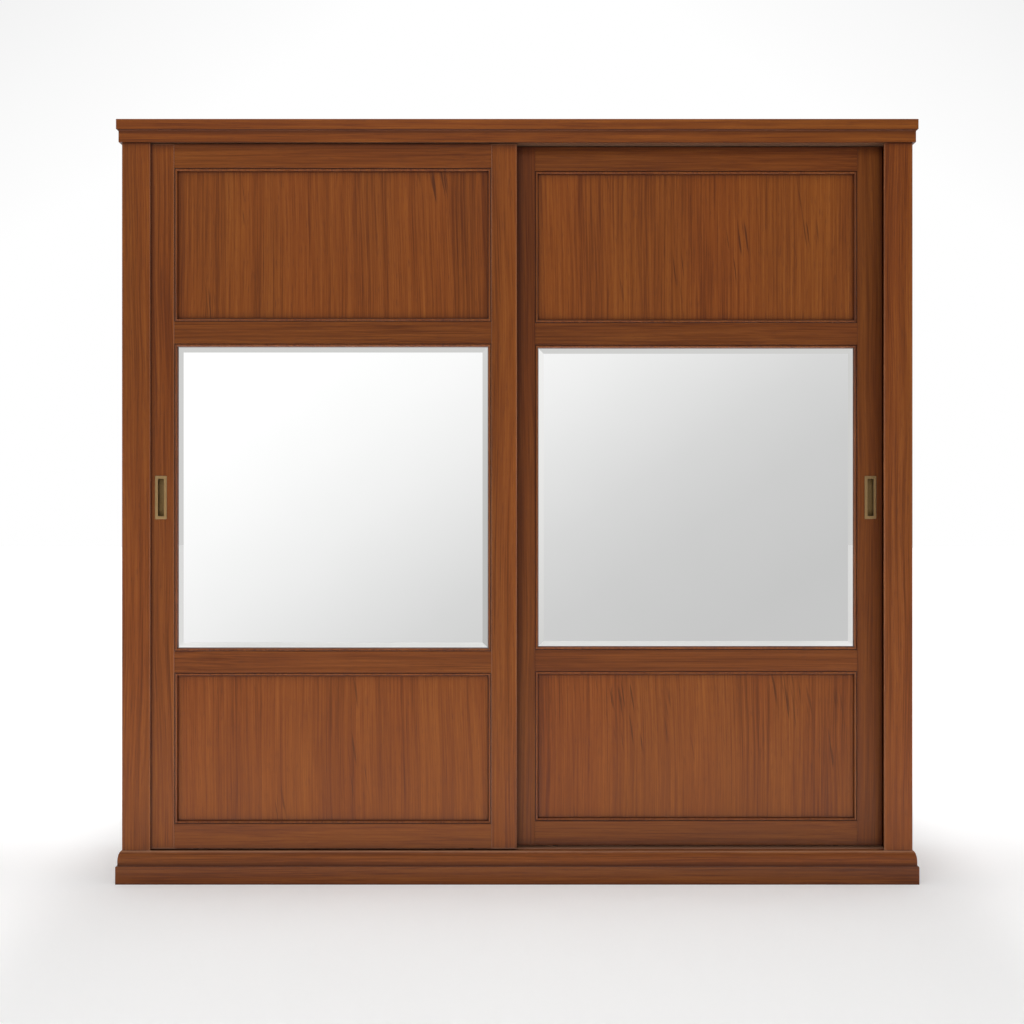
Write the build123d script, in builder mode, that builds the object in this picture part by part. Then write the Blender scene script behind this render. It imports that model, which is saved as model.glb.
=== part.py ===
"""Two-door sliding armoire: a post-and-panel carcass on a stepped plinth, with a stepped cornice,
two mirrored frame-and-panel doors on rollers, and a hat shelf and hanging rail in each bay.

Millimetres. +X to the right of someone facing the doors, +Y to the back, +Z up. The origin is on
the floor, at the middle of the overall width and depth.
"""

import os

from build123d import *

# ---- overall -------------------------------------------------------------------------------
overall_width = 2310.0  # over the plinth
overall_depth = 650.0  # plinth front to carcass back
overall_height = 2200.0  # floor to cornice top

# ---- how far each moulding stands out from the post faces ----------------------------------
plinth_projection = 16.0
base_projection = 11.0
band_projection = 8.0
fillet_projection = 14.0

# ---- heights of the mouldings --------------------------------------------------------------
plinth_height = 52.0
base_moulding_height = 43.0
base_moulding_flat = 12.0  # the straight foot below the ovolo
band_height = 30.5
cove_height = 6.0
fillet_height = 29.0
cornice_bearing = 24.0  # how far the cornice reaches in over the top panel
plinth_round = 3.0
cornice_round = 1.5

# ---- carcass -------------------------------------------------------------------------------
post_width = 74.0
post_lip = 8.0  # the lip hides the door edges: this wide, and the front door lies this far back
lip_gap = 0.6  # between the lip and the front door's face
post_round = 2.0
rear_post_size = 50.0
board_thickness = 22.0  # base and top panels, shelves
partition_thickness = 24.0
partition_gap = 7.0  # behind the rear door
back_thickness = 8.0
back_inset = 9.0  # back panel's rear face, in from the carcass back
base_rail_thickness = 25.0
base_rail_lift = 10.0
base_tenon_shoulder = 8.0
side_tenon = 30.0  # how far the side and base rails enter the posts
side_rail_thickness = 26.0
side_panel_thickness = 10.0
side_panel_recess = 8.0
side_bottom_rail_drop = 40.0  # how far the lowest side rail runs down behind the mouldings

# ---- doors ---------------------------------------------------------------------------------
door_thickness = 32.0
lane_gap = 14.0  # between the two doors
door_gap_bottom = 4.2
door_gap_top = 2.5
door_gap_side = 1.5
front_door_short = 1.0  # the front door stops this far short of the middle
rear_door_lap = 22.4  # the rear door passes the middle by this much
stile_width = 74.0
top_rail_height = 69.4
upper_rail_height = 63.4
lower_rail_height = 61.8
bottom_rail_height = 71.0
upper_opening_height = 443.0
lower_opening_height = 436.0
panel_recess = 10.0
panel_thickness = 11.0
panel_entry = 8.0  # how far a panel enters its groove
groove_depth = 9.2
tenon_length = 45.0
tenon_shoulder = 10.0
door_edge_round = 2.5
arris = 0.8  # the eased edge of every stile, rail and post at its joints

# ---- beading and mirror --------------------------------------------------------------------
bead_width = 10.4
bead_quirk = 1.2
bead_round_width = 7.0
bead_drop = 0.6  # the bead's top, below the door face
quirk_depth = 3.2
mitre_gap = 0.1
bevel_width = 15.0
bevel_rise = 1.7
mirror_edge = 3.3

# ---- finger pull ---------------------------------------------------------------------------
pull_width = 34.0
pull_height = 125.0
pull_border = 8.25
pull_proud = 1.2
pull_wall = 2.0
pull_recess = 13.0
pull_centre_height = 1112.0
pull_setback = 35.5  # from the door's outer edge to the pull's middle

# ---- running gear --------------------------------------------------------------------------
roller_inset = 134.0  # from each end of a door to its rollers and guides
wheel_radius = 13.0
wheel_width = 6.0
axle_radius = 2.5
axle_clearance = 0.05
wheel_running_gap = 0.3
wheel_side_gap = 0.5
cheek_thickness = 2.4
wheel_clearance = 2.0  # round the tread, inside the carriage
carriage_wall = 7.0  # at the carriage's ends and top
bottom_track_front = 18.0  # behind the post face
bottom_track_thickness = 4.0
bottom_groove_depth = 2.0
top_track_thickness = 16.0
guide_length = 30.0
guide_width = 6.0
guide_setback = 4.0  # from the door's back face
guide_root = 12.0
guide_reach = 9.0
guide_slot_depth = 12.0
guide_clearance = 0.3

# ---- inside --------------------------------------------------------------------------------
hat_space_height = 248.5  # shelf to top panel
shelf_setback = 26.0  # behind the partition's front edge
cleat_height = 90.0
cleat_thickness = 24.0
hanging_rail_radius = 12.5
hanging_rail_wall = 1.5
hanging_rail_drop = 60.0  # below the shelf's underside
socket_flange_radius = 22.0
socket_flange = 4.0
socket_radius = 16.0
socket_length = 14.0
socket_floor = 3.0

# ---- fits ----------------------------------------------------------------------------------
slip = 0.1  # a sliding wood joint, each side
end_gap = 0.5  # at the ends of boards that drop in between others

# ---- derived planes ------------------------------------------------------------------------
side_face = overall_width / 2 - plinth_projection
front_face = -overall_depth / 2 + plinth_projection
back_face = overall_depth / 2

sill = plinth_height + base_moulding_height
ceiling = overall_height - band_height - cove_height - fillet_height
top_panel_bottom = ceiling + top_track_thickness
top_panel_top = top_panel_bottom + board_thickness

jamb = side_face - post_width
front_door_face = front_face + post_lip
rear_door_face = front_door_face + door_thickness + lane_gap
partition_front = rear_door_face + door_thickness + partition_gap
post_back = partition_front
back_panel_face = back_face - back_inset - back_thickness
rear_post_front = back_face - rear_post_size
rear_post_side = side_face - rear_post_size
side_inner = side_face - side_rail_thickness

door_bottom = sill + door_gap_bottom
door_top = ceiling - door_gap_top
door_middle = (door_bottom + door_top) / 2
bottom_rail_z = (door_bottom, door_bottom + bottom_rail_height)
lower_opening_z = (bottom_rail_z[1], bottom_rail_z[1] + lower_opening_height)
lower_rail_z = (lower_opening_z[1], lower_opening_z[1] + lower_rail_height)
top_rail_z = (door_top - top_rail_height, door_top)
upper_opening_z = (top_rail_z[0] - upper_opening_height, top_rail_z[0])
upper_rail_z = (upper_opening_z[0] - upper_rail_height, upper_opening_z[0])
mirror_opening_z = (lower_rail_z[1], upper_rail_z[0])

wheel_floor = sill - bottom_groove_depth
wheel_height = wheel_floor + wheel_running_gap + wheel_radius
bottom_groove_width = wheel_width + 2 * wheel_side_gap
carriage_width = wheel_width + 2 * (wheel_side_gap + cheek_thickness)
wheel_slot_half = wheel_radius + wheel_clearance
carriage_top = wheel_height + wheel_slot_half + carriage_wall
shelf_top = top_panel_bottom - hat_space_height
shelf_bottom = shelf_top - board_thickness
cleat_z = (shelf_bottom - cleat_height, shelf_bottom)
hanging_rail_height = shelf_bottom - hanging_rail_drop
hanging_rail_y = (partition_front + back_panel_face) / 2


# ---- helpers -------------------------------------------------------------------------------
def block(x, y, z, mode=Mode.ADD):
    """A box between the (low, high) pairs of each axis."""
    with Locations(((x[0] + x[1]) / 2, (y[0] + y[1]) / 2, (z[0] + z[1]) / 2)):
        Box(x[1] - x[0], y[1] - y[0], z[1] - z[0], mode=mode)


def grow(span, amount):
    """A (low, high) pair made longer by amount at both ends."""
    return (span[0] - amount, span[1] + amount)


def save(piece, name):
    piece.part.label = name
    export_step(piece.part, f"parts/{name}.step")


os.makedirs("parts", exist_ok=True)


# ---- plinth, base moulding and cornice: mitred round the front and both sides ----------------
def plinth_outline(plane):
    """Each outline is drawn with x outward from the post face and y upward."""
    corner = (plinth_projection - plinth_round, plinth_height - plinth_round)
    with BuildSketch(plane) as section:
        with BuildLine():
            Polyline(
                (plinth_projection, corner[1]),
                (plinth_projection, 0),
                (0, 0),
                (0, plinth_height),
                (corner[0], plinth_height),
            )
            CenterArc(corner, plinth_round, 0, 90)
        make_face()
    return section.sketch


def base_moulding_outline(plane):
    shoulder = plinth_height + base_moulding_flat
    with BuildSketch(plane) as section:
        with BuildLine():
            Polyline(
                (base_projection, shoulder),
                (base_projection, plinth_height),
                (0, plinth_height),
                (0, sill),
            )
            EllipticalCenterArc((0, shoulder), base_projection, sill - shoulder, 0, arc_size=90)
        make_face()
    return section.sketch


def cornice_outline(plane):
    band_top = ceiling + band_height
    fillet_bottom = band_top + cove_height
    cove_reach = fillet_projection - band_projection
    corner = (fillet_projection - cornice_round, overall_height - cornice_round)
    with BuildSketch(plane) as section:
        with BuildLine():
            Polyline(
                (band_projection, band_top),
                (band_projection, ceiling),
                (0, ceiling),
                (0, top_panel_top),
                (-cornice_bearing, top_panel_top),
                (-cornice_bearing, overall_height),
                (corner[0], overall_height),
            )
            CenterArc(corner, cornice_round, 0, 90)
            Line((fillet_projection, corner[1]), (fillet_projection, fillet_bottom))
            EllipticalCenterArc(
                (fillet_projection, band_top), cove_reach, cove_height, 90, arc_size=90
            )
        make_face()
    return section.sketch


def front_moulding(outline, outward, inward):
    """A length across the front; outward and inward bound its mitred plan."""
    section_plane = Plane(origin=(0, front_face, 0), x_dir=(0, -1, 0), z_dir=(-1, 0, 0))
    with BuildPart() as piece:
        extrude(outline(section_plane), amount=side_face + outward, both=True)
        with BuildSketch():
            with BuildLine():
                Polyline(
                    (-side_face - outward, front_face - outward),
                    (side_face + outward, front_face - outward),
                    (side_face - inward, front_face + inward),
                    (-side_face + inward, front_face + inward),
                    close=True,
                )
            make_face()
        extrude(amount=overall_height, mode=Mode.INTERSECT)
    return piece


def side_moulding(outline, outward, inward, side):
    """A length along one side, mitred at the front; side is 1 on the right and -1 on the left."""
    section_plane = Plane(origin=(side * side_face, 0, 0), x_dir=(side, 0, 0), z_dir=(0, -side, 0))
    with BuildPart() as piece:
        extrude(outline(section_plane), amount=overall_depth, both=True)
        with BuildSketch():
            with BuildLine():
                Polyline(
                    (side * (side_face + outward), front_face - outward),
                    (side * (side_face + outward), back_face),
                    (side * (side_face - inward), back_face),
                    (side * (side_face - inward), front_face + inward),
                    close=True,
                )
            make_face()
        extrude(amount=overall_height, mode=Mode.INTERSECT)
    return piece


for moulding_name, outline, outward, inward in (
    ("plinth", plinth_outline, plinth_projection, 0),
    ("base_moulding", base_moulding_outline, base_projection, 0),
    ("cornice", cornice_outline, fillet_projection, cornice_bearing),
):
    save(front_moulding(outline, outward, inward), f"{moulding_name}_front")
    save(side_moulding(outline, outward, inward, -1), f"{moulding_name}_left")
    save(side_moulding(outline, outward, inward, 1), f"{moulding_name}_right")


# ---- carcass posts, side rails and side panels ---------------------------------------------
def span_on(side, near, far):
    """The X pair between two distances from the middle, on one side."""
    return (near, far) if side > 0 else (-far, -near)


side_panel_x = (
    side_face - side_panel_recess - side_panel_thickness,
    side_face - side_panel_recess,
)
side_rails_z = (
    (sill - side_bottom_rail_drop, bottom_rail_z[1]),
    lower_rail_z,
    upper_rail_z,
    (top_rail_z[0], top_panel_bottom),
)
side_openings_z = (lower_opening_z, mirror_opening_z, upper_opening_z)
side_groove_z = (bottom_rail_z[1] - groove_depth, top_rail_z[0] + groove_depth)
base_rail_z = (base_rail_lift, sill - board_thickness)
front_rail_y = (front_face, front_face + base_rail_thickness)
rear_rail_y = (back_panel_face - base_rail_thickness, back_panel_face)


def side_joint_cuts(side, y_edge, inward):
    """The panel groove and rail mortises in the post edge at y_edge; inward is +1 or -1 along Y."""
    near, far = side_panel_x

    def reach(depth):
        return tuple(sorted((y_edge, y_edge + inward * depth)))

    groove_x = span_on(side, near - slip, far + slip)
    block(groove_x, reach(groove_depth), side_groove_z, mode=Mode.SUBTRACT)
    for rail_z in side_rails_z:
        mortise_z = (rail_z[0] + tenon_shoulder - slip, rail_z[1] - tenon_shoulder + slip)
        block(groove_x, reach(side_tenon + end_gap), mortise_z, mode=Mode.SUBTRACT)


def front_post(side):
    with BuildPart() as post:
        block(span_on(side, jamb, side_face), (front_face, post_back), (0, top_panel_bottom))
        block(
            span_on(side, jamb - post_lip, side_face),
            (front_face, front_door_face - lip_gap),
            (sill, ceiling),
        )
        upright = post.edges().filter_by(Axis.Z).group_by(Axis.Y)[0]
        fillet(upright.filter_by(lambda edge: edge.length > ceiling / 2), post_round)
        side_edge = post.edges().filter_by(Axis.Z)
        fillet(side_edge.sort_by_distance((side * side_face, post_back, ceiling / 2))[0], arris)
        side_joint_cuts(side, post_back, -1)
        block(
            span_on(side, jamb, jamb + side_tenon + end_gap),
            grow(front_rail_y, slip - base_tenon_shoulder),
            grow(base_rail_z, slip - tenon_shoulder),
            mode=Mode.SUBTRACT,
        )
    return post


def rear_post(side):
    with BuildPart() as post:
        block(
            span_on(side, rear_post_side, side_face),
            (rear_post_front, back_face),
            (0, top_panel_bottom),
        )
        fillet(post.faces().filter_by(Axis.X).sort_by(Axis.X)[-1 if side > 0 else 0].edges(), arris)
        side_joint_cuts(side, rear_post_front, 1)
        block(
            span_on(side, rear_post_side, rear_post_side + groove_depth),
            (back_panel_face - slip, back_panel_face + back_thickness + slip),
            (base_rail_z[0], top_panel_bottom),
            mode=Mode.SUBTRACT,
        )
        block(
            span_on(side, rear_post_side, rear_post_side + side_tenon + end_gap),
            grow(rear_rail_y, slip - base_tenon_shoulder),
            grow(base_rail_z, slip - tenon_shoulder),
            mode=Mode.SUBTRACT,
        )
    return post


def side_rails(side):
    with BuildPart() as rails:
        for index, rail_z in enumerate(side_rails_z):
            block(span_on(side, side_inner, side_face), (post_back, rear_post_front), rail_z)
            outer_face = rails.faces(Select.LAST).sort_by_distance((side * side_face, 0, sum(rail_z) / 2))
            fillet(outer_face[0].edges(), arris)
            block(
                span_on(side, *side_panel_x),
                (post_back - side_tenon, rear_post_front + side_tenon),
                (rail_z[0] + tenon_shoulder, rail_z[1] - tenon_shoulder),
            )
            groove_x = span_on(side, side_panel_x[0] - slip, side_panel_x[1] + slip)
            if index > 0:
                block(
                    groove_x,
                    (post_back, rear_post_front),
                    (rail_z[0], rail_z[0] + groove_depth),
                    mode=Mode.SUBTRACT,
                )
            if index < len(side_rails_z) - 1:
                block(
                    groove_x,
                    (post_back, rear_post_front),
                    (rail_z[1] - groove_depth, rail_z[1]),
                    mode=Mode.SUBTRACT,
                )
    return rails


def side_panels(side):
    with BuildPart() as panels:
        for opening_z in side_openings_z:
            block(
                span_on(side, *side_panel_x),
                (post_back - panel_entry, rear_post_front + panel_entry),
                grow(opening_z, panel_entry),
            )
    return panels


for side_name, side in (("left", -1), ("right", 1)):
    save(front_post(side), f"{side_name}_front_post")
    save(rear_post(side), f"{side_name}_rear_post")
    save(side_rails(side), f"{side_name}_side_rails")
    save(side_panels(side), f"{side_name}_side_panels")


# ---- base, top, partition and back ---------------------------------------------------------
with BuildPart() as base_rails:
    for rail_y, end in ((front_rail_y, jamb), (rear_rail_y, rear_post_side)):
        block((-end, end), rail_y, base_rail_z)
        block(
            (-end - side_tenon, end + side_tenon),
            grow(rail_y, -base_tenon_shoulder),
            grow(base_rail_z, -tenon_shoulder),
        )
    block(
        (-partition_thickness / 2, partition_thickness / 2),
        (front_rail_y[1] + slip, rear_rail_y[0] - slip),
        base_rail_z,
    )
save(base_rails, "base_rails")

bottom_track_y = (front_face + bottom_track_front, partition_front - end_gap)
bottom_track_x = jamb - end_gap

with BuildPart() as base_panel:
    block((-side_inner, side_inner), (front_face, back_panel_face), (sill - board_thickness, sill))
    for side in (-1, 1):
        block(
            span_on(side, jamb, side_inner),
            (front_face, post_back),
            (sill - board_thickness, sill),
            mode=Mode.SUBTRACT,
        )
        block(
            span_on(side, rear_post_side, side_inner),
            (rear_post_front, back_panel_face),
            (sill - board_thickness, sill),
            mode=Mode.SUBTRACT,
        )
    block(
        (-jamb, jamb), bottom_track_y, (sill - bottom_track_thickness, sill), mode=Mode.SUBTRACT
    )
save(base_panel, "base_panel")

with BuildPart() as top_panel:
    block((-side_face, side_face), (front_face, back_face), (top_panel_bottom, top_panel_top))
save(top_panel, "top_panel")

with BuildPart() as partition:
    block(
        (-partition_thickness / 2, partition_thickness / 2),
        (partition_front, back_panel_face),
        (sill, top_panel_bottom),
    )
save(partition, "partition")

with BuildPart() as back_panels:
    for side in (-1, 1):
        block(
            span_on(side, end_gap / 2, rear_post_side + panel_entry),
            (back_panel_face, back_panel_face + back_thickness),
            (base_rail_z[0], top_panel_bottom),
        )
save(back_panels, "back_panels")


# ---- tracks --------------------------------------------------------------------------------
def lane_middle(door_face):
    return door_face + door_thickness / 2


def guide_y(door_face):
    """The Y pair of a door's top guides."""
    guide_back = door_face + door_thickness - guide_setback
    return (guide_back - guide_width, guide_back)


with BuildPart() as bottom_track:
    block((-bottom_track_x, bottom_track_x), bottom_track_y, (sill - bottom_track_thickness, sill))
    for door_face in (front_door_face, rear_door_face):
        middle = lane_middle(door_face)
        block(
            (-bottom_track_x, bottom_track_x),
            (middle - bottom_groove_width / 2, middle + bottom_groove_width / 2),
            (wheel_floor, sill),
            mode=Mode.SUBTRACT,
        )
save(bottom_track, "bottom_track")

with BuildPart() as top_track:
    block(
        (-bottom_track_x, bottom_track_x),
        (front_face + end_gap, partition_front - end_gap),
        (ceiling, top_panel_bottom),
    )
    for door_face in (front_door_face, rear_door_face):
        block(
            (-bottom_track_x, bottom_track_x),
            grow(guide_y(door_face), guide_clearance),
            (ceiling, ceiling + guide_slot_depth),
            mode=Mode.SUBTRACT,
        )
save(top_track, "top_track")

# ---- inside fittings -----------------------------------------------------------------------
bay_near = partition_thickness / 2
bay_far = side_inner
cleat_x_pairs = (
    (bay_near, bay_near + cleat_thickness),
    (bay_far - cleat_thickness, bay_far),
)

with BuildPart() as shelves:
    for side in (-1, 1):
        block(
            span_on(side, bay_near + end_gap, bay_far - end_gap),
            (partition_front + shelf_setback, back_panel_face),
            (shelf_bottom, shelf_top),
        )
        block(
            span_on(side, rear_post_side - end_gap, bay_far),
            (rear_post_front - end_gap, back_panel_face),
            (shelf_bottom, shelf_top),
            mode=Mode.SUBTRACT,
        )
save(shelves, "shelves")

with BuildPart() as shelf_cleats:
    for side in (-1, 1):
        for near, far in cleat_x_pairs:
            block(span_on(side, near, far), (post_back, rear_post_front), cleat_z)
save(shelf_cleats, "shelf_cleats")

socket_face_near = cleat_x_pairs[0][1]
socket_face_far = cleat_x_pairs[1][0]

with BuildPart() as rail_sockets:
    for side in (-1, 1):
        for face, turned in ((socket_face_near, side), (socket_face_far, -side)):
            socket_plane = Plane(
                origin=(side * face, hanging_rail_y, hanging_rail_height), z_dir=(turned, 0, 0)
            )
            with BuildSketch(socket_plane):
                Circle(socket_flange_radius)
            extrude(amount=socket_flange)
            with BuildSketch(socket_plane):
                Circle(socket_radius)
            extrude(amount=socket_length)
            with BuildSketch(socket_plane.offset(socket_floor)):
                Circle(hanging_rail_radius + slip)
            extrude(amount=socket_length, mode=Mode.SUBTRACT)
save(rail_sockets, "rail_sockets")

with BuildPart() as hanging_rails:
    rail_near = socket_face_near + socket_floor + end_gap
    rail_far = socket_face_far - socket_floor - end_gap
    for side in (-1, 1):
        rail_plane = Plane(
            origin=(side * rail_near, hanging_rail_y, hanging_rail_height), z_dir=(side, 0, 0)
        )
        with BuildSketch(rail_plane):
            Circle(hanging_rail_radius)
            Circle(hanging_rail_radius - hanging_rail_wall, mode=Mode.SUBTRACT)
        extrude(amount=rail_far - rail_near)
save(hanging_rails, "hanging_rails")


# ---- doors ---------------------------------------------------------------------------------
def facing(y):
    """A plane that faces the front at depth y, with its x along +X and its y along +Z."""
    return Plane.XZ.offset(-y)


def bead_strip(length):
    """One length of beading with mitred ends; it lies along X, its outer edge on z = 0."""
    quirk_end = bead_quirk
    round_end = bead_quirk + bead_round_width
    with BuildPart() as strip:
        # section: x into the opening, y towards the room, measured from the panel's face
        with BuildSketch(Plane(origin=(0, 0, 0), x_dir=(0, 0, 1), z_dir=(1, 0, 0))):
            with BuildLine():
                shelf = panel_recess - quirk_depth
                crown = panel_recess - bead_drop
                Polyline((bead_width, 0), (0, 0), (0, shelf), (quirk_end, shelf))
                round_middle = (quirk_end + round_end) / 2
                EllipticalCenterArc(
                    (round_middle, shelf), bead_round_width / 2, crown - shelf, 0, arc_size=180
                )
                Line((round_end, shelf), (bead_width, 0))
            make_face()
        extrude(amount=length / 2, both=True)
        with BuildSketch(Plane.XZ):
            with BuildLine():
                Polyline(
                    (-length / 2 + mitre_gap, 0),
                    (length / 2 - mitre_gap, 0),
                    (length / 2 - mitre_gap - bead_width, bead_width),
                    (-length / 2 + mitre_gap + bead_width, bead_width),
                    close=True,
                )
            make_face()
        extrude(amount=panel_recess, both=True, mode=Mode.INTERSECT)
    return strip


def beading(opening_x, panel_face, openings_z):
    """Four mitred strips round each opening, on the panel's or mirror's face."""
    width = opening_x[1] - opening_x[0]
    middle_x = (opening_x[0] + opening_x[1]) / 2
    across = bead_strip(width).part
    with BuildPart() as beads:
        for low, high in openings_z:
            upright = bead_strip(high - low).part
            middle_z = (low + high) / 2
            for strip, place, turn in (
                (across, (middle_x, panel_face, low), 0),
                (upright, (opening_x[1], panel_face, middle_z), -90),
                (across, (middle_x, panel_face, high), 180),
                (upright, (opening_x[0], panel_face, middle_z), 90),
            ):
                with Locations(Location(place, (0, turn, 0))):
                    add(strip)
    return beads


def door_stile(stile_x, inner_edge, rounded_edge, face, pull_x=None):
    """inner_edge is the X of the edge that takes the rails; rounded_edge that of the other.

    With pull_x, the stile gets the pocket for a finger pull whose middle is there.
    """
    back = face + door_thickness
    groove_y = grow((face + panel_recess, face + panel_recess + panel_thickness), slip)
    into = 1 if rounded_edge > inner_edge else -1

    def reach(depth):
        return tuple(sorted((inner_edge, inner_edge + into * depth)))

    with BuildPart() as stile:
        block(stile_x, (face, back), (door_bottom, door_top))
        outer = stile.edges().filter_by(Axis.Z).group_by(Axis.Y)[0]
        fillet(outer.sort_by_distance((rounded_edge, face, door_bottom))[0], door_edge_round)
        inner = stile.edges().filter_by(Axis.Z)
        fillet(inner.sort_by_distance((inner_edge, face, door_middle))[0], arris)
        groove_z = (bottom_rail_z[1] - groove_depth, top_rail_z[0] + groove_depth)
        block(reach(groove_depth), groove_y, groove_z, mode=Mode.SUBTRACT)
        for rail_z in (bottom_rail_z, lower_rail_z, upper_rail_z, top_rail_z):
            mortise_z = grow(rail_z, slip - tenon_shoulder)
            block(reach(tenon_length + end_gap), groove_y, mortise_z, mode=Mode.SUBTRACT)
        if pull_x is not None:
            inset = pull_border - pull_wall - slip
            block(
                grow((pull_x, pull_x), pull_width / 2 - inset),
                (face, face + pull_recess + pull_wall + slip),
                grow((pull_centre_height, pull_centre_height), pull_height / 2 - inset),
                mode=Mode.SUBTRACT,
            )
    return stile


def door_rail(opening_x, rail_z, face, grooved, guides=(), carriages=()):
    """grooved says which edges take a panel; guides and carriages are the X of each pocket."""
    middle_y = lane_middle(face)
    panel_y = (face + panel_recess, face + panel_recess + panel_thickness)
    with BuildPart() as rail:
        block(opening_x, (face, face + door_thickness), rail_z)
        fillet(rail.faces().sort_by(Axis.Y)[0].edges(), arris)
        block(grow(opening_x, tenon_length), panel_y, grow(rail_z, -tenon_shoulder))
        if "above" in grooved:
            groove_z = (rail_z[1] - groove_depth, rail_z[1])
            block(opening_x, grow(panel_y, slip), groove_z, mode=Mode.SUBTRACT)
        if "below" in grooved:
            groove_z = (rail_z[0], rail_z[0] + groove_depth)
            block(opening_x, grow(panel_y, slip), groove_z, mode=Mode.SUBTRACT)
        for centre in guides:
            with BuildSketch(Plane.XY.offset(door_top - guide_root)):
                with Locations((centre, sum(guide_y(face)) / 2)):
                    SlotOverall(guide_length + 2 * slip, guide_width + 2 * slip)
            extrude(amount=guide_root, mode=Mode.SUBTRACT)
        for centre in carriages:
            block(
                grow((centre, centre), wheel_slot_half + carriage_wall + slip),
                grow((middle_y, middle_y), carriage_width / 2 + slip),
                (door_bottom, carriage_top + slip),
                mode=Mode.SUBTRACT,
            )
    return rail


def roller_carriages(centres, face):
    """Two forks let into the bottom rail, each with its axle."""
    middle = lane_middle(face)
    with BuildPart() as carriages:
        for centre in centres:
            block(
                grow((centre, centre), wheel_slot_half + carriage_wall),
                grow((middle, middle), carriage_width / 2),
                (door_bottom, carriage_top),
            )
            block(
                grow((centre, centre), wheel_slot_half),
                grow((middle, middle), wheel_width / 2 + wheel_side_gap),
                (door_bottom, wheel_height + wheel_slot_half),
                mode=Mode.SUBTRACT,
            )
            with BuildSketch(facing(middle)):
                with Locations((centre, wheel_height)):
                    Circle(axle_radius)
            extrude(amount=carriage_width / 2, both=True)
    return carriages


def wheel(centre, face):
    middle = lane_middle(face)
    tread_round = 1.0
    with BuildPart() as roller:
        with BuildSketch(facing(middle)):
            with Locations((centre, wheel_height)):
                Circle(wheel_radius)
        extrude(amount=wheel_width / 2, both=True)
        fillet(roller.edges(), tread_round)
        with BuildSketch(facing(middle)):
            with Locations((centre, wheel_height)):
                Circle(axle_radius + axle_clearance)
        extrude(amount=wheel_width, both=True, mode=Mode.SUBTRACT)
    return roller


def top_guides(centres, face):
    with BuildPart() as guides:
        for centre in centres:
            with BuildSketch(Plane.XY.offset(door_top - guide_root)):
                with Locations((centre, sum(guide_y(face)) / 2)):
                    SlotOverall(guide_length, guide_width)
            extrude(amount=guide_root + door_gap_top + guide_reach)
    return guides


def finger_pull(middle_x, face):
    """A shallow cup with a flat border that stands just proud of the stile."""
    cup_width = pull_width - 2 * pull_border
    cup_height = pull_height - 2 * pull_border
    corner = 2.0
    border_round = 0.6
    with BuildPart() as pull:
        with BuildSketch(facing(face)):
            with Locations((middle_x, pull_centre_height)):
                RectangleRounded(pull_width, pull_height, corner)
        extrude(amount=pull_proud)
        fillet(pull.faces().sort_by(Axis.Y)[0].edges(), border_round)
        with BuildSketch(facing(face)):
            with Locations((middle_x, pull_centre_height)):
                RectangleRounded(cup_width + 2 * pull_wall, cup_height + 2 * pull_wall, corner)
        extrude(amount=-(pull_recess + pull_wall))
        with BuildSketch(facing(face - pull_proud)):
            with Locations((middle_x, pull_centre_height)):
                RectangleRounded(cup_width, cup_height, corner)
        extrude(amount=-(pull_recess + pull_proud), mode=Mode.SUBTRACT)
    return pull


def wood_panel(opening_x, opening_z, face):
    with BuildPart() as panel:
        block(
            grow(opening_x, panel_entry),
            (face + panel_recess, face + panel_recess + panel_thickness),
            grow(opening_z, panel_entry),
        )
    return panel


def bevelled_mirror(opening_x, opening_z, face):
    """A plate whose seen part rises over a wide bevel; the bevel starts at the beading."""
    seat = face + panel_recess
    seen_x = grow(opening_x, -bead_width)
    seen_z = grow(opening_z, -bead_width)
    middle = (sum(opening_x) / 2, sum(opening_z) / 2)
    seen_width = seen_x[1] - seen_x[0]
    seen_height = seen_z[1] - seen_z[0]
    with BuildPart() as glass:
        block(grow(opening_x, panel_entry), (seat, seat + mirror_edge), grow(opening_z, panel_entry))
        with BuildSketch(facing(seat)):
            with Locations(middle):
                Rectangle(seen_width, seen_height)
        with BuildSketch(facing(seat - bevel_rise)):
            with Locations(middle):
                Rectangle(seen_width - 2 * bevel_width, seen_height - 2 * bevel_width)
        loft()
    return glass


def mirror_backing(opening_x, opening_z, face):
    with BuildPart() as backing:
        block(
            grow(opening_x, panel_entry),
            (face + panel_recess + mirror_edge + slip, face + panel_recess + panel_thickness),
            grow(opening_z, panel_entry),
        )
    return backing


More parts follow.
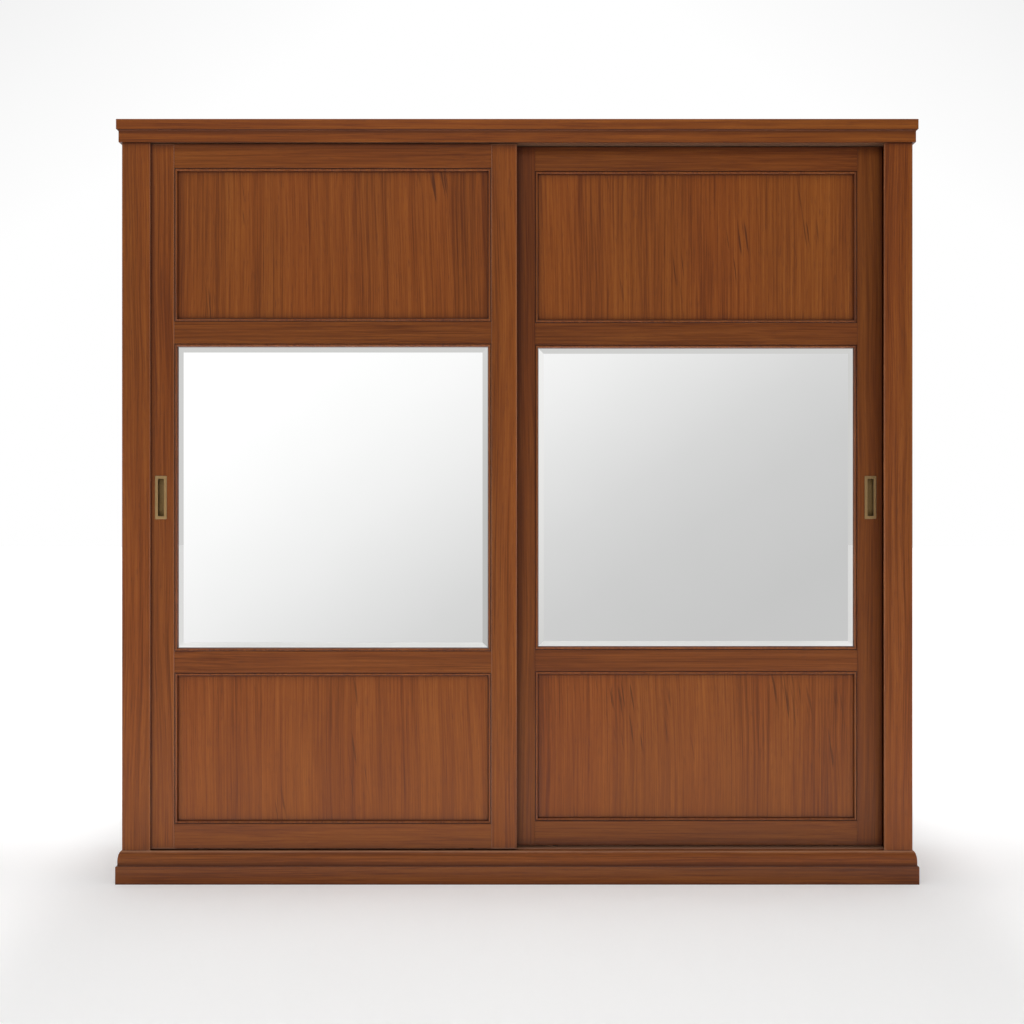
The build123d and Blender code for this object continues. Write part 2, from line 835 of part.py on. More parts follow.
def build_door(prefix, door_x, face, pull_side):
    """pull_side is -1 where the finger pull is on the left stile, 1 on the right."""
    left, right = door_x
    opening_x = (left + stile_width, right - stile_width)
    left_stile = ((left, opening_x[0]), opening_x[0], left)
    right_stile = ((opening_x[1], right), opening_x[1], right)
    if pull_side < 0:
        pull_x = left + pull_setback
        save(door_stile(*left_stile, face, pull_x), f"{prefix}_pull_stile")
        save(door_stile(*right_stile, face), f"{prefix}_lap_stile")
    else:
        pull_x = right - pull_setback
        save(door_stile(*right_stile, face, pull_x), f"{prefix}_pull_stile")
        save(door_stile(*left_stile, face), f"{prefix}_lap_stile")

    centres = (left + roller_inset, right - roller_inset)
    for name, rail_z, grooved, guides, carriages in (
        ("top_rail", top_rail_z, ("below",), centres, ()),
        ("upper_rail", upper_rail_z, ("above", "below"), (), ()),
        ("lower_rail", lower_rail_z, ("above", "below"), (), ()),
        ("bottom_rail", bottom_rail_z, ("above",), (), centres),
    ):
        rail = door_rail(opening_x, rail_z, face, grooved, guides, carriages)
        save(rail, f"{prefix}_{name}")

    save(wood_panel(opening_x, upper_opening_z, face), f"{prefix}_upper_panel")
    save(wood_panel(opening_x, lower_opening_z, face), f"{prefix}_lower_panel")
    save(bevelled_mirror(opening_x, mirror_opening_z, face), f"{prefix}_mirror")
    save(mirror_backing(opening_x, mirror_opening_z, face), f"{prefix}_mirror_backing")
    openings_z = (lower_opening_z, mirror_opening_z, upper_opening_z)
    save(beading(opening_x, face + panel_recess, openings_z), f"{prefix}_beading")

    save(finger_pull(pull_x, face), f"{prefix}_finger_pull")
    save(top_guides(centres, face), f"{prefix}_top_guides")
    save(roller_carriages(centres, face), f"{prefix}_roller_carriages")
    save(wheel(centres[0], face), f"{prefix}_wheel_left")
    save(wheel(centres[1], face), f"{prefix}_wheel_right")


front_door_x = (-jamb + door_gap_side, -front_door_short)
rear_door_x = (-rear_door_lap, jamb - door_gap_side)
build_door("front_door", front_door_x, front_door_face, -1)
build_door("rear_door", rear_door_x, rear_door_face, 1)
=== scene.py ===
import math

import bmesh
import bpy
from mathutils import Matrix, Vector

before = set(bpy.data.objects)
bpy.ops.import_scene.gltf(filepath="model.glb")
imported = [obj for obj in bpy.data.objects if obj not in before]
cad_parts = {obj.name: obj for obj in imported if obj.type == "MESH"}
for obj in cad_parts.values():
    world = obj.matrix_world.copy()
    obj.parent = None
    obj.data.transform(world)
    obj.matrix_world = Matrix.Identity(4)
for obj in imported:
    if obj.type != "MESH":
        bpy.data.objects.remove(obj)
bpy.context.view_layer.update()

# The armoire's finishes, studio and camera. Every visible piece is a CAD node and keeps its mesh; this
# script gives each a procedural finish. Lengths are in metres. The doors face -Y, +X is to the right
# and the floor is at Z = 0.

# ---- helpers for node trees -----------------------------------------------------------------


def add(tree, kind, inputs=None, **settings):
    """Adds a node; inputs maps a socket's name or index to a value or to another node's output."""
    made = tree.nodes.new(kind)
    for name, value in settings.items():
        setattr(made, name, value)
    for socket, value in (inputs or {}).items():
        if isinstance(value, bpy.types.NodeSocket):
            tree.links.new(value, made.inputs[socket])
        else:
            made.inputs[socket].default_value = value
    return made


def maths(tree, operation, *values):
    """One number from a Math node."""
    return add(tree, "ShaderNodeMath", dict(enumerate(values)), operation=operation).outputs[0]


def ramp(tree, value, stops):
    """A colour ramp; stops is a list of (position, (r, g, b))."""
    made = add(tree, "ShaderNodeValToRGB", {0: value})
    elements = made.color_ramp.elements
    while len(elements) < len(stops):
        elements.new(0.5)
    for element, (position, colour) in zip(elements, stops):
        element.position = position
        element.color = (*colour, 1)
    return made.outputs[0]


def remap(tree, value, old, new, kind="LINEAR"):
    """Maps value from the old (low, high) to the new (low, high), clamped."""
    made = add(
        tree,
        "ShaderNodeMapRange",
        {0: value, 1: old[0], 2: old[1], 3: new[0], 4: new[1]},
        interpolation_type=kind,
        clamp=True,
    )
    return made.outputs[0]


def noise(tree, vector, detail=2.0, roughness=0.5, distortion=0.0):
    """Noise from 0 to 1, one cell per unit of the vector."""
    inputs = {"Vector": vector, "Scale": 1.0, "Detail": detail, "Roughness": roughness}
    inputs["Distortion"] = distortion
    return add(tree, "ShaderNodeTexNoise", inputs).outputs[0]


def stretched(tree, vector, per_metre, shift=(0, 0, 0)):
    """The vector times cells per metre on each axis, plus a shift."""
    inputs = {0: vector, 1: per_metre, 2: shift}
    return add(tree, "ShaderNodeVectorMath", inputs, operation="MULTIPLY_ADD").outputs[0]


def parts_of(tree, vector):
    """The X, Y and Z outputs of a vector."""
    split = add(tree, "ShaderNodeSeparateXYZ")
    tree.links.new(vector, split.inputs[0])
    return split.outputs


def vector_of(tree, *values):
    """A vector from up to three numbers or outputs; those left out are 0."""
    return add(tree, "ShaderNodeCombineXYZ", dict(enumerate(values))).outputs[0]


def mix_colour(tree, factor, first, second, blend="MIX"):
    """Two colours mixed."""
    made = add(tree, "ShaderNodeMix", data_type="RGBA", blend_type=blend)
    for socket, value in ((0, factor), (6, first), (7, second)):
        if isinstance(value, bpy.types.NodeSocket):
            tree.links.new(value, made.inputs[socket])
        else:
            made.inputs[socket].default_value = value if socket == 0 else (*value, 1)
    return made.outputs[2]


def object_vector(tree):
    return add(tree, "ShaderNodeTexCoord").outputs["Object"]


def new_material(name):
    """An empty material with its Principled shader."""
    material = bpy.data.materials.new(name)
    material.use_nodes = True
    tree = material.node_tree
    tree.nodes.clear()
    shader = add(tree, "ShaderNodeBsdfPrincipled")
    output = add(tree, "ShaderNodeOutputMaterial")
    tree.links.new(shader.outputs[0], output.inputs["Surface"])
    return material, tree, shader


def link_inputs(tree, shader, **inputs):
    """Links or sets the Principled shader's sockets by name, _ standing for a space."""
    for name, value in inputs.items():
        socket = shader.inputs[name.replace("_", " ")]
        if isinstance(value, bpy.types.NodeSocket):
            tree.links.new(value, socket)
        else:
            socket.default_value = value


def bump(tree, height, distance, strength=1.0):
    """A bump normal from a height from 0 to 1; distance is the full height in metres."""
    inputs = {"Height": height, "Distance": distance, "Strength": strength}
    return add(tree, "ShaderNodeBump", inputs).outputs[0]


# ---- wood -----------------------------------------------------------------------------------

GRAIN_SWAY = 0.05  # how far the grain wanders sideways
FLECK_LEAN = 0.12  # sideways, for each metre along the grain
# the width of the painted highlight along edges
PAINTED_HIGHLIGHT_WIDTH = 0.0055

FIGURE_STRENGTH = {"broad": 0.65, "streaks": 0.95, "fibres": 0.90}
WOOD_BROWNS = [
    (0.12, (0.088, 0.018, 0.0012)),
    (0.50, (0.174, 0.044, 0.0032)),
    (0.90, (0.246, 0.072, 0.0070)),
]
RED_STAIN = (1.0, 0.84, 0.72)
PORE_BROWN = (0.070, 0.018, 0.005)
FLECK_BROWN = (0.045, 0.010, 0.002)
# the colour of the painted shade in corners, quirks and gaps
PAINTED_SHADE_BROWN = (0.024, 0.003, 0.0005)
# the colour of the painted shade beside steps in mouldings
SHADE_BROWN = (0.040, 0.008, 0.001)
# the colour of the painted highlight on edges and upward faces
PAINTED_HIGHLIGHT_BROWN = (0.33, 0.16, 0.085)

# the reach of the shade painted into corners, quirks and gaps, and how open a face is where the painted
# shade is darkest
SOFT_PAINTED_SHADE = (0.030, 0.40)
CORNER_PAINTED_SHADE = (0.030, 0.50)
SHORT_PAINTED_SHADE = (0.008, 0.40)

# where each kind of piece is cut from the figure
GRAIN_SHIFT = {"stile": 0.0, "panel": 11.3, "post": 23.7, "rail": 37.1, "moulding": 52.9, "bead": 64.3}


def along_grain(tree, axis):
    """Object coordinates turned so that the grain runs along the third axis."""
    x, y, z = parts_of(tree, object_vector(tree))
    order = {"X": (y, z, x), "Y": (z, x, y), "Z": (x, y, z)}[axis]
    return vector_of(tree, *order)


def openness(tree, reach):
    """1 on open faces, falling towards 0 in quirks, corners and gaps; reach is in metres."""
    made = add(tree, "ShaderNodeAmbientOcclusion", {"Distance": reach}, samples=6)
    return made.outputs["AO"]


def facing(tree):
    """The surface's own direction along X, Y and Z."""
    return parts_of(tree, add(tree, "ShaderNodeTexCoord").outputs["Normal"])


def rounded_edges(tree):
    """1 on the rounded edges between square faces, 0 on the faces."""
    x, y, z = (maths(tree, "ABSOLUTE", value) for value in facing(tree))
    squareness = maths(tree, "MAXIMUM", maths(tree, "MAXIMUM", x, y), z)
    return remap(tree, squareness, (0.97, 0.82), (0.0, 1.0))


def edge_bands(tree, width):
    """1 along edges, fading to 0 on the face at the given width."""
    soft = add(tree, "ShaderNodeBevel", {"Radius": width}, samples=4).outputs[0]
    flat = add(tree, "ShaderNodeNewGeometry").outputs["Normal"]
    turn = add(tree, "ShaderNodeVectorMath", {0: soft, 1: flat}, operation="DOT_PRODUCT")
    return remap(tree, turn.outputs["Value"], (0.99, 0.90), (0.0, 1.0))


def upward_faces(tree):
    """1 on what faces up, 0 on what stands upright or faces down."""
    return remap(tree, facing(tree)[2], (0.4, 0.75), (0.0, 1.0))


def step_shade(tree, low, high, at_low, at_high):
    """Painted shade between two heights, from at_low to at_high, and none above them."""
    height = parts_of(tree, object_vector(tree))[2]
    below = maths(tree, "LESS_THAN", height, high)
    return maths(tree, "MULTIPLY", remap(tree, height, (low, high), (at_low, at_high)), below)


def flecks(tree, grain, shift):
    """A few long dark flecks that lean across the grain, and small pin knots, from 0 to 1."""
    x, y, z = parts_of(tree, grain)
    across = maths(tree, "MULTIPLY_ADD", z, FLECK_LEAN, maths(tree, "ADD", x, y))
    leaning = vector_of(tree, across, 0.0, z)
    marks = noise(tree, stretched(tree, leaning, (120, 1, 6), (shift, 0, shift)), 1.0)
    places = noise(tree, stretched(tree, leaning, (7, 1, 3), (shift, 3, 8)), 0.0)
    mark_mask = remap(tree, marks, (0.60, 0.70), (0.0, 0.75))
    place_mask = remap(tree, places, (0.60, 0.70), (0.0, 1.0))
    long_marks = maths(tree, "MULTIPLY", mark_mask, place_mask)
    spread = stretched(tree, leaning, (2.3, 0, 2.3), (shift, 0, 0))
    knots = add(tree, "ShaderNodeTexVoronoi", {"Vector": spread, "Scale": 1.0})
    pins = remap(tree, knots.outputs["Distance"], (0.006, 0.018), (0.8, 0.0))
    return maths(tree, "MAXIMUM", long_marks, pins)


def wood_figure(tree, axis, shift):
    """The grain's coordinates and its noises by name; shift moves the figure, so no two finishes match."""
    straight = along_grain(tree, axis)
    move = (shift, shift * 1.7, shift * 2.3)
    sway = noise(tree, stretched(tree, straight, (1.5, 1.5, 1.1), (shift, 4, 6)), 1.0)
    swayed = vector_of(tree, maths(tree, "MULTIPLY", sway, GRAIN_SWAY))
    grain = add(tree, "ShaderNodeVectorMath", {0: straight, 1: swayed}, operation="ADD").outputs[0]
    return grain, {
        "broad": noise(tree, stretched(tree, grain, (8, 8, 0.7), move), 2.0, 0.5),
        "hue": noise(tree, stretched(tree, grain, (6, 6, 0.7), (shift + 5, 2, 9)), 1.0),
        "streaks": noise(tree, stretched(tree, grain, (95, 95, 1.1), move), 2.0, 0.7),
        "fibres": noise(tree, stretched(tree, grain, (300, 300, 5), move), 2.0, 0.6),
        "pores": noise(tree, stretched(tree, grain, (520, 520, 26), move), 1.0),
    }


def wood_colour(tree, figure, tone, pore_mask):
    """The stained colour of the bare figure: dark to light brown, redder in places, dark in the pores."""
    level = 0.5
    for name, strength in FIGURE_STRENGTH.items():
        level = maths(tree, "MULTIPLY_ADD", maths(tree, "SUBTRACT", figure[name], 0.5), strength, level)
    stops = [(at, tuple(tone * part for part in colour)) for at, colour in WOOD_BROWNS]
    redness = remap(tree, figure["hue"], (0.35, 0.65), (0.0, 0.5))
    redder = mix_colour(tree, redness, ramp(tree, level, stops), RED_STAIN, "MULTIPLY")
    return mix_colour(tree, maths(tree, "MULTIPLY", pore_mask, 0.35), redder, PORE_BROWN)


def wood(name, axis, shift=0.0, tone=1.0, **options):
    """Satin stained hardwood: broad soft bands, long fibre streaks and fine pores, with painted shade in
    corners and beside steps and painted highlights on edges and upward faces.

    axis is the way the grain runs, and tone lightens or darkens the stain. The options are:
    gloss, the roughness; veil, the strength of the clear sheen;
    glaze, the reach of the painted shade in corners, quirks and gaps, and how open a face is where it is
    darkest;
    shade, the numbers for step_shade: painted shade beside a step in a moulding;
    rubbed, "edges" for a painted highlight along edges, or "top" for a painted highlight on faces that look
    up;
    figured, True for flecks and pin knots.
    """
    gloss = options.get("gloss", 0.42)
    reach, darkest_at = options.get("glaze", SOFT_PAINTED_SHADE)
    painted_highlight = options.get("painted_highlight")
    material, tree, shader = new_material(name)
    grain, figure = wood_figure(tree, axis, shift)
    pore_mask = remap(tree, figure["pores"], (0.58, 0.70), (0.0, 1.0))
    colour = wood_colour(tree, figure, tone, pore_mask)
    if options.get("figured"):
        colour = mix_colour(tree, flecks(tree, grain, shift), colour, FLECK_BROWN)
    # painted shade: darker towards corners, quirks and gaps, from ambient occlusion
    open_face = openness(tree, reach)
    glaze = remap(tree, open_face, (darkest_at, 1.0), (0.93, 0.0))
    colour = mix_colour(tree, glaze, colour, PAINTED_SHADE_BROWN)
    # painted shade beside a step in a moulding
    if "shade" in options:
        colour = mix_colour(tree, step_shade(tree, *options["shade"]), colour, SHADE_BROWN)
    # painted highlight: paler along edges, or on faces that look up
    if painted_highlight:
        where = edge_bands(tree, PAINTED_HIGHLIGHT_WIDTH) if painted_highlight == "edges" else upward_faces(tree)
        patchy = remap(tree, figure["streaks"], (0.3, 0.6), (0.40, 0.65))
        in_the_open = remap(tree, open_face, (0.4, 0.7), (0.0, 1.0))
        strength = maths(tree, "MULTIPLY", maths(tree, "MULTIPLY", patchy, where), in_the_open)
        colour = mix_colour(tree, strength, colour, PAINTED_HIGHLIGHT_BROWN)
    height = maths(tree, "MULTIPLY_ADD", pore_mask, -0.5, figure["fibres"])
    link_inputs(
        tree,
        shader,
        Base_Color=colour,
        Roughness=remap(tree, figure["streaks"], (0.25, 0.75), (gloss - 0.05, gloss + 0.06)),
        Specular_IOR_Level=options.get("veil", 0.10),
        Normal=bump(tree, height, 0.00012, 0.6),
    )
    return material


# ---- metals, glass, board and plastic -------------------------------------------------------


def mirror_glass():
    """Silvered glass: nearly clean, with a very faint unevenness of sheen."""
    material, tree, shader = new_material("mirror_glass_finish")
    where = object_vector(tree)
    haze = noise(tree, stretched(tree, where, (5, 5, 5)), 2.0)
    clearness = remap(tree, haze, (0.3, 0.7), (0, 1))
    tint = mix_colour(tree, clearness, (0.935, 0.940, 0.935), (0.945, 0.948, 0.945))
    bevel = remap(tree, facing(tree)[1], (-0.9995, -0.996), (0.0, 1.0))
    tint = mix_colour(tree, bevel, tint, (0.80, 0.80, 0.785))
    roughness = remap(tree, haze, (0.3, 0.7), (0.004, 0.012))
    link_inputs(tree, shader, Base_Color=tint, Metallic=1.0, Roughness=roughness)
    return material


def metal(name, dark, light, roughness, cells=(300, 300, 300), metallic=1.0, patina=None):
    """A metal with brushed or cast variation of colour and sheen.

    patina is the colour that darkens its recesses and rounded edges.
    """
    material, tree, shader = new_material(name)
    where = object_vector(tree)
    fine = noise(tree, stretched(tree, where, cells), 3.0, 0.6)
    broad = noise(tree, stretched(tree, where, (14, 14, 14), (3, 7, 1)), 2.0)
    worn = maths(tree, "MULTIPLY_ADD", fine, 0.5, maths(tree, "MULTIPLY", broad, 0.5))
    colour = mix_colour(tree, remap(tree, worn, (0.32, 0.68), (0, 1)), dark, light)
    sheen = remap(tree, worn, (0.3, 0.7), (roughness + 0.07, roughness - 0.05))
    if patina:
        depth_mask = remap(tree, openness(tree, 0.02), (0.35, 0.95), (0.9, 0.0))
        colour = mix_colour(tree, depth_mask, colour, patina)
        colour = mix_colour(tree, maths(tree, "MULTIPLY", rounded_edges(tree), 0.7), colour, patina)
    link_inputs(
        tree,
        shader,
        Base_Color=colour,
        Metallic=metallic,
        Roughness=sheen,
        Normal=bump(tree, fine, 0.00003, 0.5),
    )
    return material


def plain_board(name, dark, light):
    """A thin matt board with a faint figure."""
    material, tree, shader = new_material(name)
    where = object_vector(tree)
    figure = noise(tree, stretched(tree, where, (60, 60, 3)), 4.0, 0.6, 0.3)
    fine = noise(tree, stretched(tree, where, (900, 900, 60)), 2.0)
    level = maths(tree, "MULTIPLY_ADD", fine, 0.35, maths(tree, "MULTIPLY", figure, 0.65))
    colour = mix_colour(tree, remap(tree, level, (0.3, 0.7), (0, 1)), dark, light)
    rough = remap(tree, level, (0.3, 0.7), (0.75, 0.65))
    grooves = bump(tree, fine, 0.00008, 0.5)
    link_inputs(tree, shader, Base_Color=colour, Roughness=rough, Specular_IOR_Level=0.2, Normal=grooves)
    return material


def plastic(name, dark, light):
    """Moulded dark brown nylon with a faint bloom."""
    material, tree, shader = new_material(name)
    where = object_vector(tree)
    bloom = noise(tree, stretched(tree, where, (120, 120, 120)), 3.0)
    colour = mix_colour(tree, remap(tree, bloom, (0.3, 0.7), (0, 1)), dark, light)
    rough = remap(tree, bloom, (0.3, 0.7), (0.38, 0.5))
    link_inputs(
        tree, shader, Base_Color=colour, Roughness=rough, Normal=bump(tree, bloom, 0.00002, 0.5)
    )
    return material


# ---- which finish each CAD node gets --------------------------------------------------------

FILLET_HEIGHT = 0.029
# how far the painted shade reaches under the cornice's fillet and over the plinth
SHADE_UNDER_FILLET = 0.016
SHADE_OVER_PLINTH = 0.017


def top_of(name):
    """The height of a CAD node's top, in its own coordinates, which the finishes use too."""
    return max(corner[2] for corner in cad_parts[name].bound_box)


fillet_foot = top_of("cornice_front") - FILLET_HEIGHT
plinth_top = top_of("plinth_front")
# painted shade under the cornice's fillet and on the moulding over the plinth
cornice_shade = (fillet_foot - SHADE_UNDER_FILLET, fillet_foot, 0.0, 0.85)
moulding_shade = (plinth_top, plinth_top + SHADE_OVER_PLINTH, 0.75, 0.0)

upright_look = {"glaze": CORNER_PAINTED_SHADE, "painted_highlight": "edges"}
cornice_look = {"tone": 0.95, "shade": cornice_shade}
moulding_look = {"tone": 0.86, "shade": moulding_shade, "painted_highlight": "top"}
plinth_look = {"tone": 0.76, "veil": 0.18, "glaze": SHORT_PAINTED_SHADE}
bead_look = {"tone": 0.80, "veil": 0.14, "glaze": CORNER_PAINTED_SHADE}

finishes = {
    "post": wood("post_wood_upright", "Z", GRAIN_SHIFT["post"], 0.96, **upright_look),
    "front_stile": wood("front_stile_wood", "Z", GRAIN_SHIFT["stile"], 0.93, **upright_look),
    "rear_stile": wood("rear_stile_wood", "Z", GRAIN_SHIFT["stile"] + 4.1, 0.70),
    "panel": wood("panel_wood_upright", "Z", GRAIN_SHIFT["panel"], figured=True),
    "front_rail": wood("front_rail_wood", "X", GRAIN_SHIFT["rail"], 0.82),
    "rear_rail": wood("rear_rail_wood", "X", GRAIN_SHIFT["rail"] + 3.3, 0.74),
    "side_rail": wood("side_rail_wood", "Y", GRAIN_SHIFT["rail"] + 8.0, 0.88),
    "front_cornice": wood("cornice_wood_x", "X", GRAIN_SHIFT["moulding"], **cornice_look),
    "side_cornice": wood("cornice_wood_y", "Y", GRAIN_SHIFT["moulding"] + 6.0, **cornice_look),
    "front_moulding": wood("moulding_wood_x", "X", GRAIN_SHIFT["moulding"] + 2.0, **moulding_look),
    "side_moulding": wood("moulding_wood_y", "Y", GRAIN_SHIFT["moulding"] + 8.0, **moulding_look),
    "front_plinth": wood("plinth_wood_x", "X", GRAIN_SHIFT["moulding"] + 4.0, **plinth_look),
    "side_plinth": wood("plinth_wood_y", "Y", GRAIN_SHIFT["moulding"] + 9.0, **plinth_look),
    "bead": wood("beading_wood", "Z", GRAIN_SHIFT["bead"], **bead_look),
    "shelf": wood("carcass_wood_x", "X", GRAIN_SHIFT["panel"] + 9.0, gloss=0.55),
    "partition": wood("carcass_wood_z", "Z", GRAIN_SHIFT["panel"] + 5.0, gloss=0.55),
    "board": plain_board("backing_board_finish", (0.120, 0.046, 0.018), (0.185, 0.082, 0.035)),
    "mirror": mirror_glass(),
    "brass": metal(
        "antique_brass_finish",
        (0.145, 0.088, 0.038),
        (0.215, 0.142, 0.066),
        0.38,
        patina=(0.045, 0.026, 0.008),
    ),
    "top_bronze": metal(
        "top_track_bronze",
        (0.15, 0.070, 0.036),
        (0.21, 0.105, 0.056),
        0.4,
        cells=(8, 500, 500),
        metallic=0.25,
    ),
    "bottom_bronze": metal(
        "bottom_track_bronze",
        (0.28, 0.135, 0.075),
        (0.38, 0.19, 0.11),
        0.4,
        cells=(8, 500, 500),
        metallic=0.25,
    ),
    "tube": metal("polished_tube_finish", (0.60, 0.59, 0.57), (0.72, 0.71, 0.69), 0.2, cells=(8, 600, 600)),
    "zinc": metal("zinc_plated_finish", (0.45, 0.46, 0.48), (0.62, 0.63, 0.65), 0.4),
    "nylon": plastic("nylon_finish", (0.030, 0.018, 0.010), (0.045, 0.028, 0.017)),
}


def finish_of(node):
    """The name of the finish that a CAD node takes, from the ending of its own name."""
    by_ending = {
        "stile": "rear_stile" if node.startswith("rear") else "front_stile",
        "front_post": "post",
        "rear_post": "post",
        "side_rails": "side_rail",
        "_rail": "rear_rail" if node.startswith("rear") else "front_rail",
        "base_rails": "front_rail",
        "_panel": "shelf" if node in ("base_panel", "top_panel") else "panel",
        "side_panels": "panel",
        "back_panels": "board",
        "moulding_front": "front_moulding",
        "moulding_left": "side_moulding",
        "moulding_right": "side_moulding",
        "plinth_front": "front_plinth",
        "plinth_left": "side_plinth",
        "plinth_right": "side_plinth",
        "cornice_front": "front_cornice",
        "cornice_left": "side_cornice",
        "cornice_right": "side_cornice",
        "beading": "bead",
        "shelves": "shelf",
        "shelf_cleats": "side_rail",
        "partition": "partition",
        "mirror": "mirror",
        "mirror_backing": "board",
        "finger_pull": "brass",
        "rail_sockets": "brass",
        "top_track": "top_bronze",
        "bottom_track": "bottom_bronze",
        "hanging_rails": "tube",
        "roller_carriages": "zinc",
        "top_guides": "nylon",
        "wheel_left": "nylon",
        "wheel_right": "nylon",
    }
    endings = [ending for ending in by_ending if node.endswith(ending)]
    return by_ending[max(endings, key=len)]


for node_name, node_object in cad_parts.items():
    node_object.data.materials.clear()
    node_object.data.materials.append(finishes[finish_of(node_name)])

# ---- studio: floor, surroundings, light -----------------------------------------------------

scene = bpy.context.scene
scene.view_settings.view_transform = "Standard"
scene.view_settings.look = "None"
scene.view_settings.exposure = 0.0
scene.view_settings.gamma = 1.0


def grey(level):
    """Linear light of a grey level from 0 to 255."""
    value = level / 255
    return value / 12.92 if value <= 0.04045 else ((value + 0.055) / 1.055) ** 2.4


def plate(name, width, depth):
    """A flat rectangular sheet about its own centre."""
    mesh = bpy.data.meshes.new(name)
    shape = bmesh.new()
    bmesh.ops.create_grid(shape, x_segments=1, y_segments=1, size=0.5)
    bmesh.ops.scale(shape, vec=(width, depth, 1), verts=shape.verts)
    shape.to_mesh(mesh)
    shape.free()
    made = bpy.data.objects.new(name, mesh)
    scene.collection.objects.link(made)
    return made


def floor_material():
    """Pale seamless studio floor with a very faint unevenness and painted light: it glows a little
    everywhere and more to the sides, and both its glow and its colour brighten with distance.
    """
    material, tree, shader = new_material("studio_floor")
    where = object_vector(tree)
    across, along, _ = parts_of(tree, where)
    mottle = noise(tree, stretched(tree, where, (1.5, 1.5, 1.5)), 2.0)
    # painted light: the floor's colour and glow brighten with distance, and its glow to the sides
    far = remap(tree, along, (-0.5, 2.0), (0.0, 1.0), "SMOOTHSTEP")
    sideways = maths(tree, "ABSOLUTE", across)
    beside = remap(tree, sideways, (1.1, 1.5), (0.0, 0.19), "SMOOTHSTEP")
    near_tone = remap(tree, mottle, (0.3, 0.7), (0.795, 0.805))
    tone = maths(tree, "MULTIPLY_ADD", far, 0.1, near_tone)
    colour = vector_of(tree, tone, tone, tone)
    link_inputs(
        tree,
        shader,
        Base_Color=colour,
        Roughness=0.9,
        Specular_IOR_Level=0.1,
        Emission_Color=(1, 1, 1, 1),
        Emission_Strength=maths(tree, "MULTIPLY_ADD", far, 0.35, maths(tree, "ADD", beside, 0.22)),
    )
    return material


floor = plate("floor", 60, 60)
floor.data.materials.append(floor_material())


def surroundings():
    """Near-white surroundings, softer towards the upper corners and on the side facing the doors."""
    world = bpy.data.worlds.new("studio")
    world.use_nodes = True
    scene.world = world
    tree = world.node_tree
    tree.nodes.clear()
    across, along, up = parts_of(tree, add(tree, "ShaderNodeTexCoord").outputs["Generated"])
    sideways = maths(tree, "ABSOLUTE", across)
    height = maths(tree, "MAXIMUM", up, 0.0)
    corner = maths(tree, "MULTIPLY_ADD", sideways, 0.67, height)
    stops = [
        (0.31, (grey(255),) * 3),
        (0.38, (grey(249),) * 3),
        (0.45, (grey(241),) * 3),
        (0.80, (grey(205),) * 3),
    ]
    ahead = ramp(tree, corner, stops)
    behind = mix_colour(tree, remap(tree, height, (0.32, 0.7), (0, 1)), (0.78,) * 3, (0.42,) * 3)
    light = mix_colour(tree, remap(tree, along, (-0.15, 0.15), (0, 1)), behind, ahead)
    background = add(tree, "ShaderNodeBackground", {0: light, 1: 1.0})
    output = add(tree, "ShaderNodeOutputWorld")
    tree.links.new(background.outputs[0], output.inputs[0])


surroundings()

CARD_BACK = -6.6  # metres; the card that the mirrors see stands behind the camera
CARD_SLOPE = 0.68  # how fast the card dims sideways, against how fast it dims downwards
CARD_LOW = -1.2
CARD_HIGH = 3.0


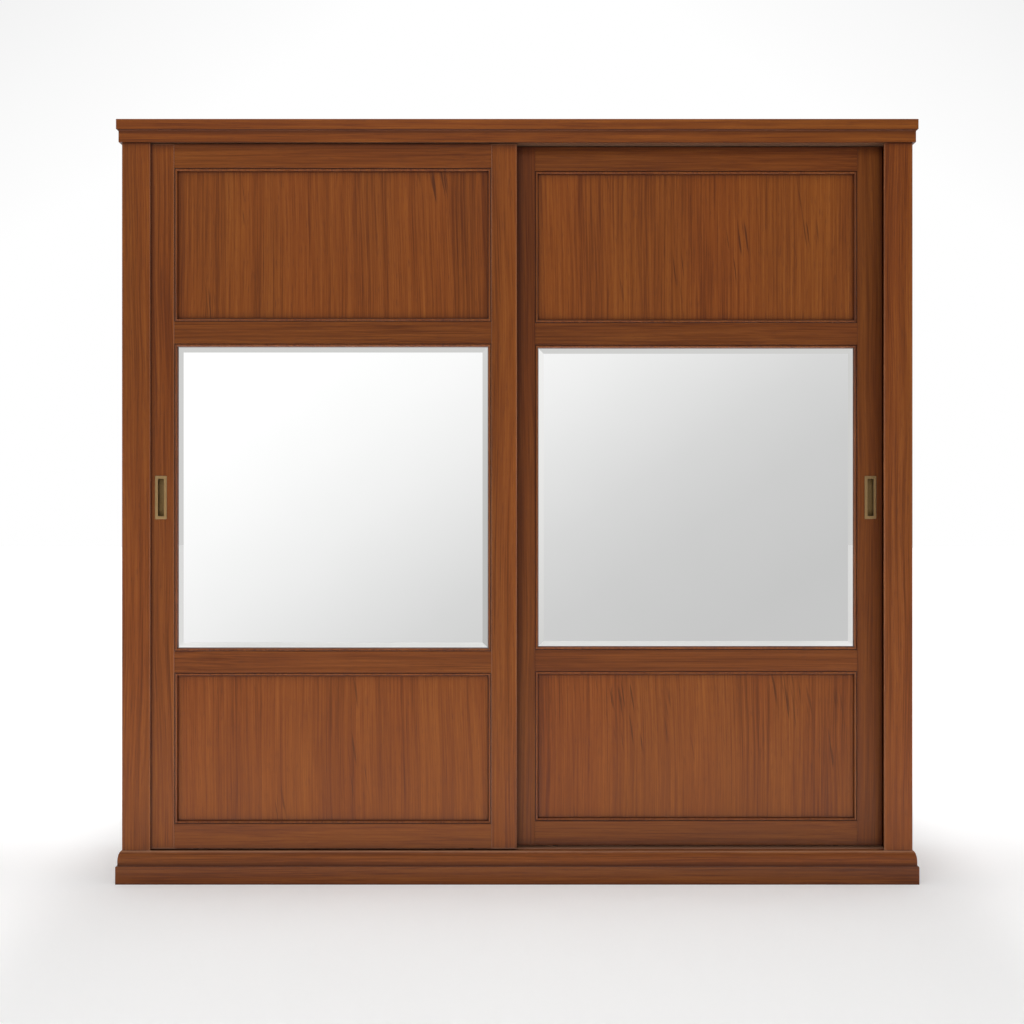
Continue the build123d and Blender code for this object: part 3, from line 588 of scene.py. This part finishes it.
def card_material():
    """The card's light: brightest at the upper left, dimming to the lower right."""
    material = bpy.data.materials.new("studio_card")
    material.use_nodes = True
    tree = material.node_tree
    tree.nodes.clear()
    across, _, up = parts_of(tree, object_vector(tree))
    value = maths(tree, "ADD", maths(tree, "MULTIPLY", across, -CARD_SLOPE), up)
    share = remap(tree, value, (CARD_LOW, CARD_HIGH), (0.0, 1.0))

    def stop(at, level):
        return ((at - CARD_LOW) / (CARD_HIGH - CARD_LOW), (grey(level) / 0.94,) * 3)

    levels = ((-0.7, 198), (0.1, 205), (0.65, 215), (1.6, 239), (2.2, 250), (2.8, 257))
    stops = [stop(at, level) for at, level in levels]
    light = add(tree, "ShaderNodeEmission", {0: ramp(tree, share, stops), 1: 1.0})
    output = add(tree, "ShaderNodeOutputMaterial")
    tree.links.new(light.outputs[0], output.inputs[0])
    return material


card_mesh = bpy.data.meshes.new("studio_card")
card_mesh.from_pydata([(-2.8, 0, 0.0), (2.8, 0, 0.0), (2.8, 0, 2.6), (-2.8, 0, 2.6)], [], [(0, 1, 2, 3)])
card = bpy.data.objects.new("studio_card", card_mesh)
card.location = (0, CARD_BACK, 0)
card.visible_camera = False
card_mesh.materials.append(card_material())
scene.collection.objects.link(card)


def area_light(name, location, target, size, power):
    """A soft rectangular light aimed at a point."""
    data = bpy.data.lights.new(name, "AREA")
    data.shape = "RECTANGLE"
    data.size, data.size_y = size
    data.energy = power
    made = bpy.data.objects.new(name, data)
    made.location = location
    made.rotation_euler = (Vector(target) - Vector(location)).to_track_quat("-Z", "Y").to_euler()
    made.visible_camera = False
    scene.collection.objects.link(made)
    return made


area_light("key_light", (-0.6, -4.2, 3.9), (0, -0.2, 1.0), (3.2, 1.4), 48)
front_fill = area_light("front_fill", (0, -5.2, 0.9), (0, -0.2, 0.9), (5.0, 1.0), 38)
front_fill.visible_glossy = False
# these four show only in the sheen of the wood and metal, and in the mirrors
glows = [
    area_light("floor_glow", (0, -1.45, 0.01), (0, -1.45, 1.0), (4.5, 1.5), 200),
    area_light("overhead_glow", (0, -1.0, 5.0), (0, -1.0, 0.0), (5.0, 3.0), 250),
    area_light("left_glow", (-3.4, -2.2, 1.2), (-1.0, -0.3, 1.2), (0.6, 3.0), 90),
    area_light("right_glow", (3.4, -2.2, 1.2), (1.0, -0.3, 1.2), (0.6, 3.0), 90),
]
for glow in glows:
    glow.visible_diffuse = False

# ---- camera ---------------------------------------------------------------------------------

camera_data = bpy.data.cameras.new("camera")
camera_data.sensor_width = 36
camera_data.lens = 63.46
camera_data.shift_x = -0.00515
camera_data.shift_y = -0.0215
camera_data.clip_end = 200
camera = bpy.data.objects.new("camera", camera_data)
camera.location = (0, -5.509, 1.1336)
camera.rotation_euler = (math.pi / 2, 0, 0)
scene.collection.objects.link(camera)
scene.camera = camera
